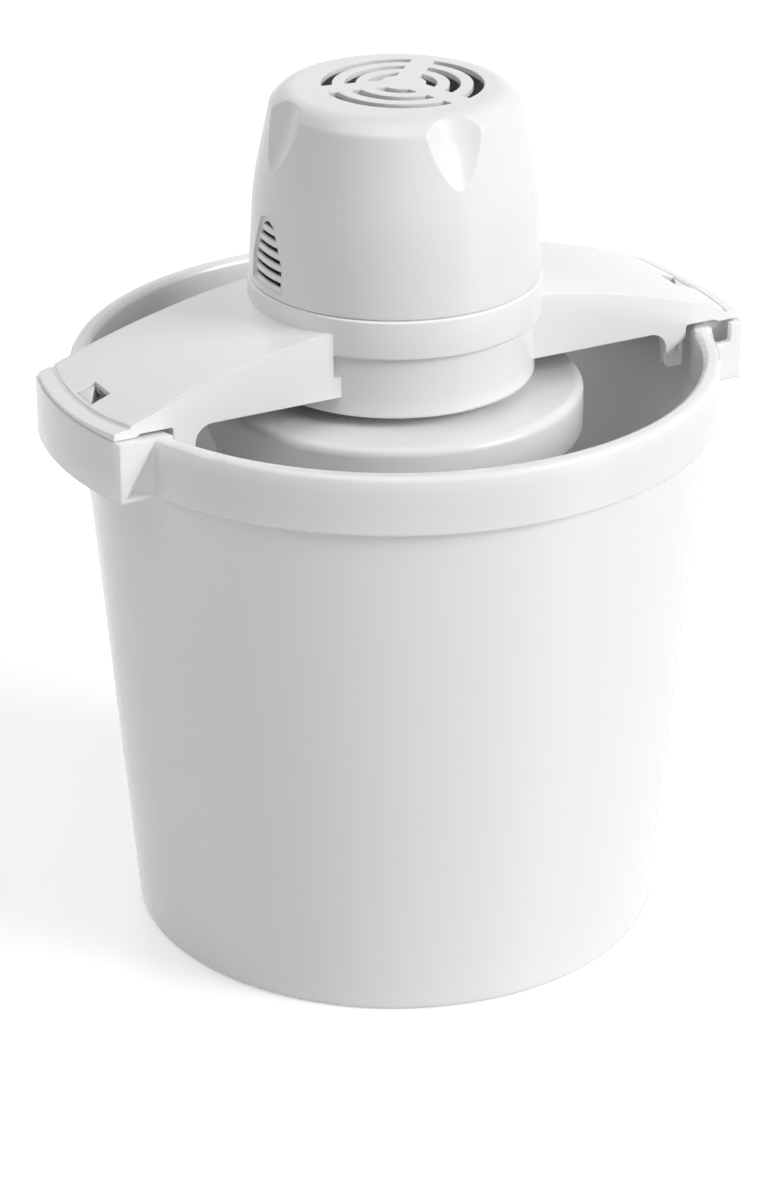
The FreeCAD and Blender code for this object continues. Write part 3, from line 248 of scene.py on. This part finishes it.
def banded(name, colour, groove_shade, roughness, metallic, axis, pitch, height):
    """Edges of sheets or turns of wire: ribs in a row along one axis, with the grooves between darkened by
    painted shade.
    """
    material, tree, shader, place = surface(name, colour, roughness, metallic)
    wave = add(tree, "ShaderNodeTexWave", [(place, "Vector")], bands_direction=axis,
               Scale=WAVE_PERIOD / pitch, Distortion=WAVE_DISTORTION, Detail=0.0)
    ribs = wave.outputs["Fac"]
    # painted shade: the low parts of each rib take the dark groove colour
    shade = ranged(tree, ribs, 0.0, 1.0, *GROOVE_SHADE_SHARE)
    tree.links.new(tinted(tree, shade, groove_shade, colour), shader.inputs["Base Color"])
    patches = noise(tree, place, RIB_GLOSS_SCALE, 3.0)
    gloss = ranged(tree, patches, roughness + RIB_GLOSS[0], roughness + RIB_GLOSS[1])
    tree.links.new(gloss, shader.inputs["Roughness"])
    bumped(tree, shader, [(ribs, height, RIB_STRENGTH)])
    return material


# ---- materials by record slot ----
finishes = {
    "bucket": moulded("bucket", PAIL_WHITE, roughness=0.17, coat=0.25, depth=0.5, edge=0.0012),
    # the housing's paler white is painted light, for the bounce its drum misses
    "housing": moulded("housing", HOUSING_PAINTED_LIGHT_WHITE, roughness=0.22, coat=0.15, edge=0.0005),
    "shell": moulded("shell", WHITE, roughness=0.25, coat=0.1, edge=0.0008),
    "lid": moulded("lid", WARM_WHITE, roughness=0.26, depth=0.1),
    "canister": metal("canister", ALUMINIUM, roughness=0.30, stretch=(0.025, 0.025, 3.5), stain=0.96),
    "dasher": moulded("dasher", WARM_WHITE, roughness=0.46, grain=0.00003, flow=0.03),
    "scraper": moulded("scraper", COOL_GREY, roughness=0.42, grain=0.00002, flow=0.03),
    "gear_nylon": moulded("gear_nylon", NYLON, roughness=0.44, grain=0.00002, flow=0.04, depth=0.1),
    "bush": moulded("bush", BUSH_GREY, roughness=0.38, grain=0.00002, flow=0.03),
    "gland": moulded("gland", PALE_GREY, roughness=0.55, grain=0.00004, flow=0.05),
    "steel": metal("steel", STEEL, roughness=0.32, stretch=(1.0, 26.0, 1.0)),
    "rotor": banded("rotor", CORE_STEEL, CORE_GROOVE_SHADE, roughness=0.36, metallic=1.0, axis="Z",
                    pitch=0.001, height=0.00006),
    "lamination": banded("lamination", SHEET_STEEL, SHEET_GROOVE_SHADE, roughness=0.42, metallic=1.0, axis="Z",
                         pitch=0.001, height=0.00008),
    "bobbin": moulded("bobbin", BLACK, roughness=0.42, grain=0.00003, flow=0.05),
    "winding": banded("winding", COPPER, COPPER_GROOVE_SHADE, roughness=0.28, metallic=0.9, axis="Y",
                      pitch=0.0012, height=0.00020),
    "bronze": metal("bronze", BRONZE, roughness=0.36, stretch=(1.0, 1.0, 20.0)),
    "fan": moulded("fan", FAN_BLACK, roughness=0.40, grain=0.00003, flow=0.05),
}
slots = {part["node"]: part["material_slot"] for part in frame["record"]["subparts"]}
for name, piece in frame["nodes"].items():
    piece.data.materials.clear()
    piece.data.materials.append(finishes[slots[name]])


# ---- ramps on the catches in the lugs: they fill the windows' outer halves up to the arms' slope ----
def catch_ramp(name, side):
    """Three-cornered ramp on the catch at side +1 or -1 along X; each catch is the other turned round."""
    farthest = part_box("bucket")[1]
    outer = farthest.x - RAMP_INSET
    inner = outer - RAMP_LENGTH
    foot = farthest.z - RAMP_SINK
    plan = ((outer, -RAMP_HALF, RAMP_LOW), (inner, -RAMP_HALF, RAMP_HIGH), (outer, RAMP_HALF, RAMP_LOW))
    low = [(side * x, side * y, foot) for x, y, rise in plan]
    high = [(side * x, side * y, farthest.z + rise) for x, y, rise in plan]
    mesh = bpy.data.meshes.new(name)
    mesh.from_pydata(low + high, [], [(0, 1, 2), (3, 5, 4), (0, 3, 4, 1), (1, 4, 5, 2), (2, 5, 3, 0)])
    shape = bmesh.new()
    shape.from_mesh(mesh)
    bmesh.ops.recalc_face_normals(shape, faces=shape.faces)
    top_edges = [edge for edge in shape.edges
                 if all(corner.co.z > foot + RAMP_ROUNDING for corner in edge.verts)]
    bmesh.ops.bevel(shape, geom=top_edges, offset=RAMP_ROUNDING, segments=RAMP_STEPS, affect="EDGES",
                    profile=0.5)
    shape.to_mesh(mesh)
    shape.free()
    mesh.materials.append(finishes["bucket"])
    made = linked(name, mesh)
    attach(made, "bucket_body")


for side, name in ((1.0, "right"), (-1.0, "left")):
    catch_ramp("catch_ramp_" + name, side)


# ---- floor: pale, with the object's shadow, and brighter for camera and gloss than it is as a light ----
def pale_floor():
    """Square floor at height 0, under the object and far past the edges of the picture."""
    mesh = bpy.data.meshes.new("floor")
    far = FLOOR_HALF
    corners = [(-far, -far, 0.0), (far, -far, 0.0), (far, far, 0.0), (-far, far, 0.0)]
    mesh.from_pydata(corners, [], [(0, 1, 2, 3)])
    material, tree, shader, place = surface("floor", FLOOR_COLOUR, FLOOR_ROUGHNESS)
    patches = noise(tree, place, FLOOR_PATCHES, 1.0)
    gloss = ranged(tree, patches, FLOOR_ROUGHNESS - FLOOR_FLOW, FLOOR_ROUGHNESS + FLOOR_FLOW)
    tree.links.new(gloss, shader.inputs["Roughness"])
    path = add(tree, "ShaderNodeLightPath").outputs
    seen = combined(tree, "MAXIMUM", path["Is Camera Ray"], path["Is Glossy Ray"])
    shader.inputs["Emission Color"].default_value = (1.0, 1.0, 1.0, 1.0)
    glow = ranged(tree, seen, 0.0, FLOOR_GLOW, 0.0, 1.0)
    tree.links.new(glow, shader.inputs["Emission Strength"])
    mesh.materials.append(material)
    return linked("floor", mesh)


floor = pale_floor()


# ---- lamps ----
for name, place, strength, softness, in_gloss in LAMPS:
    data = bpy.data.lights.new(name, "SUN")
    data.energy = strength
    data.angle = math.radians(softness)
    lamp = linked(name, data)
    lamp.visible_glossy = in_gloss
    aimed(lamp, place)


# ---- surroundings ----
def studio():
    """White world for camera and transmission, white with a dim side for gloss, AMBIENT as a light."""
    world = bpy.data.worlds.new("studio")
    world.use_nodes = True
    tree = world.node_tree
    tree.nodes.clear()
    path = add(tree, "ShaderNodeLightPath").outputs
    direction = add(tree, "ShaderNodeTexCoord").outputs["Generated"]
    towards_dim = add(tree, "ShaderNodeVectorMath", [(direction, 0)], operation="DOT_PRODUCT")
    towards_dim.inputs[1].default_value = DIM_SIDE
    walls = ranged(tree, towards_dim.outputs["Value"], 1.0, DIM_STRENGTH, DIM_START, DIM_FULL)
    in_gloss = combined(tree, "MULTIPLY", path["Is Glossy Ray"], walls)
    in_view = combined(tree, "MAXIMUM", path["Is Camera Ray"], path["Is Transmission Ray"])
    seen = combined(tree, "MAXIMUM", in_view, in_gloss)
    ambient = add(tree, "ShaderNodeValue").outputs["Value"]
    ambient.default_value = AMBIENT
    strength = combined(tree, "MAXIMUM", seen, ambient)
    backdrop = add(tree, "ShaderNodeBackground", [(strength, "Strength")])
    backdrop.inputs["Color"].default_value = (1.0, 1.0, 1.0, 1.0)
    add(tree, "ShaderNodeOutputWorld", [(backdrop.outputs["Background"], "Surface")])
    return world


scene = bpy.context.scene
scene.world = studio()
scene.view_settings.view_transform = "Standard"

# ---- camera ----
camera_data = bpy.data.cameras.new("camera")
camera_data.lens = LENS
camera_data.shift_x = SHIFT_X
scene.camera = linked("camera", camera_data)
aimed(scene.camera, CAMERA_PLACE)
